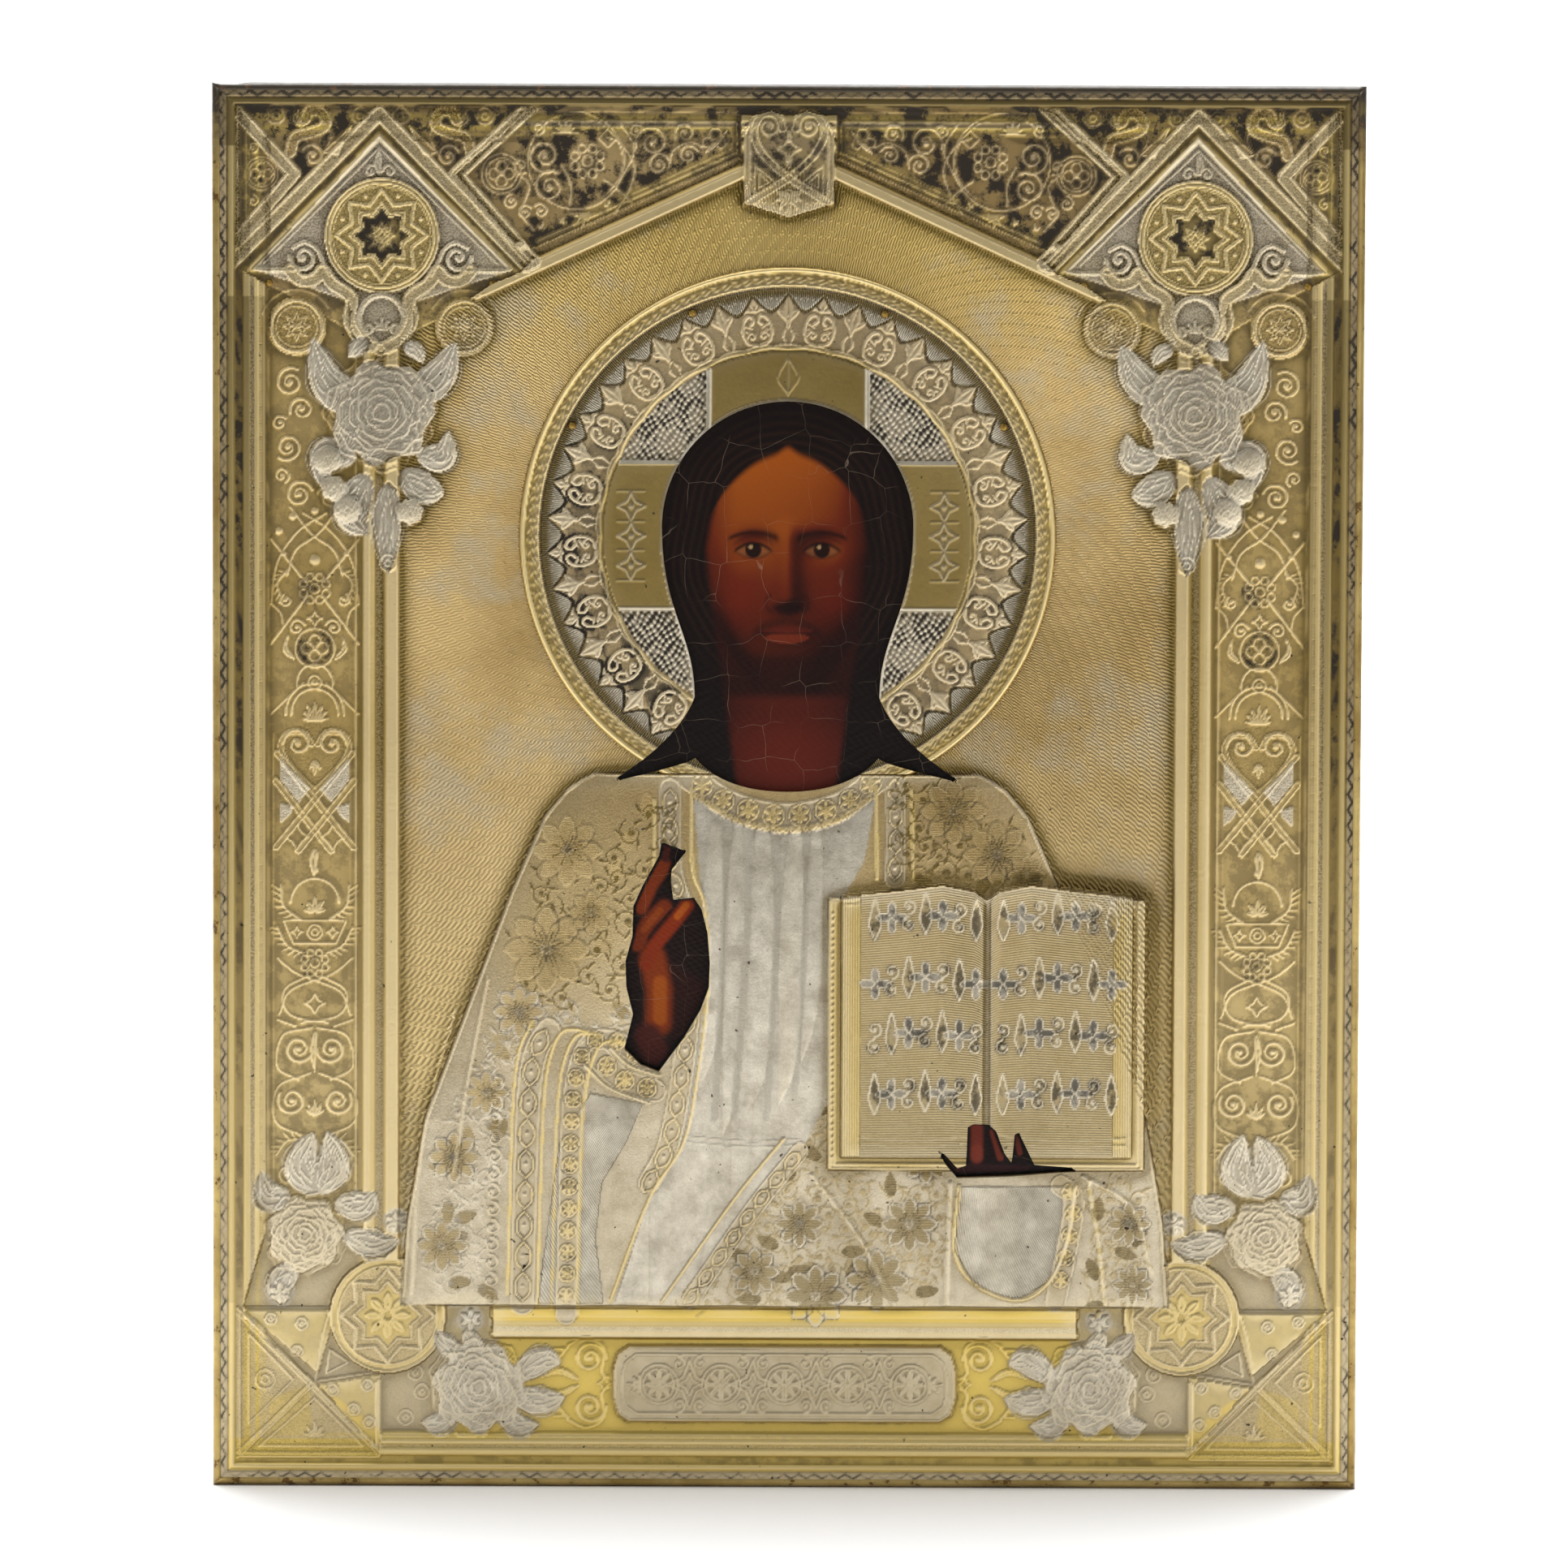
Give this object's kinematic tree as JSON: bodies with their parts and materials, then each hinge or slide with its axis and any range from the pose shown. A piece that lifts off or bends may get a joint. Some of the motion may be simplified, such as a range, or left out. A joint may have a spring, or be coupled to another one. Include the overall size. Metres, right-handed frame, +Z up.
{
  "type": "religious icon",
  "caption": "Painted wooden panel icon under an embossed silver-gilt cover with openings for the face and hands, an applied halo, back battens and a swinging hanging ring.",
  "frame": {"origin": "middle of the cover's lower flange, the flat face that the icon stands on", "axes": "+Z up along the panel's height, +X to the viewer's right, -Y towards the viewer"},
  "size_m": [0.219, 0.0364, 0.267],
  "materials": {
    "gilt_metal": "embossed, gilded and silvered, polished by wear",
    "wood": "planed, dark with age",
    "gesso": "chalk ground, matt",
    "paint": "oil paint under a glossy cracked varnish",
    "brass_pins": "drawn, tarnished",
    "iron_wire": "forged wire, dark"
  },
  "bodies": {
    "icon": {"panel_board": "wood", "batten_upper": "wood", "batten_lower": "wood", "gesso_ground": "gesso", "painted_head": "paint", "painted_blessing_hand": "paint", "painted_book_hand": "paint", "cover_sheet": "gilt_metal", "halo": "gilt_metal", "halo_pin_1": "brass_pins", "halo_pin_2": "brass_pins", "halo_pin_3": "brass_pins", "halo_pin_4": "brass_pins", "side_nail_left_1": "brass_pins", "side_nail_left_2": "brass_pins", "side_nail_left_3": "brass_pins", "side_nail_left_4": "brass_pins", "side_nail_right_1": "brass_pins", "side_nail_right_2": "brass_pins", "side_nail_right_3": "brass_pins", "side_nail_right_4": "brass_pins", "side_nail_top_1": "brass_pins", "side_nail_top_2": "brass_pins", "side_nail_top_3": "brass_pins", "side_nail_top_4": "brass_pins", "side_nail_bottom_1": "brass_pins", "side_nail_bottom_2": "brass_pins", "side_nail_bottom_3": "brass_pins", "side_nail_bottom_4": "brass_pins", "face_brad_1": "brass_pins", "face_brad_2": "brass_pins", "face_brad_3": "brass_pins", "face_brad_4": "brass_pins", "face_brad_5": "brass_pins", "face_brad_6": "brass_pins", "hanging_eye": "iron_wire"},
    "ring": {"hanging_ring": "iron_wire"}
  },
  "joints": [
    {"name": "ring_swing", "type": "hinge", "parent": "icon", "child": "ring", "pos_m": [0, 0.0179, 0.2445], "axis": [1, 0, 0], "range_deg": [0, 180]}
  ]
}
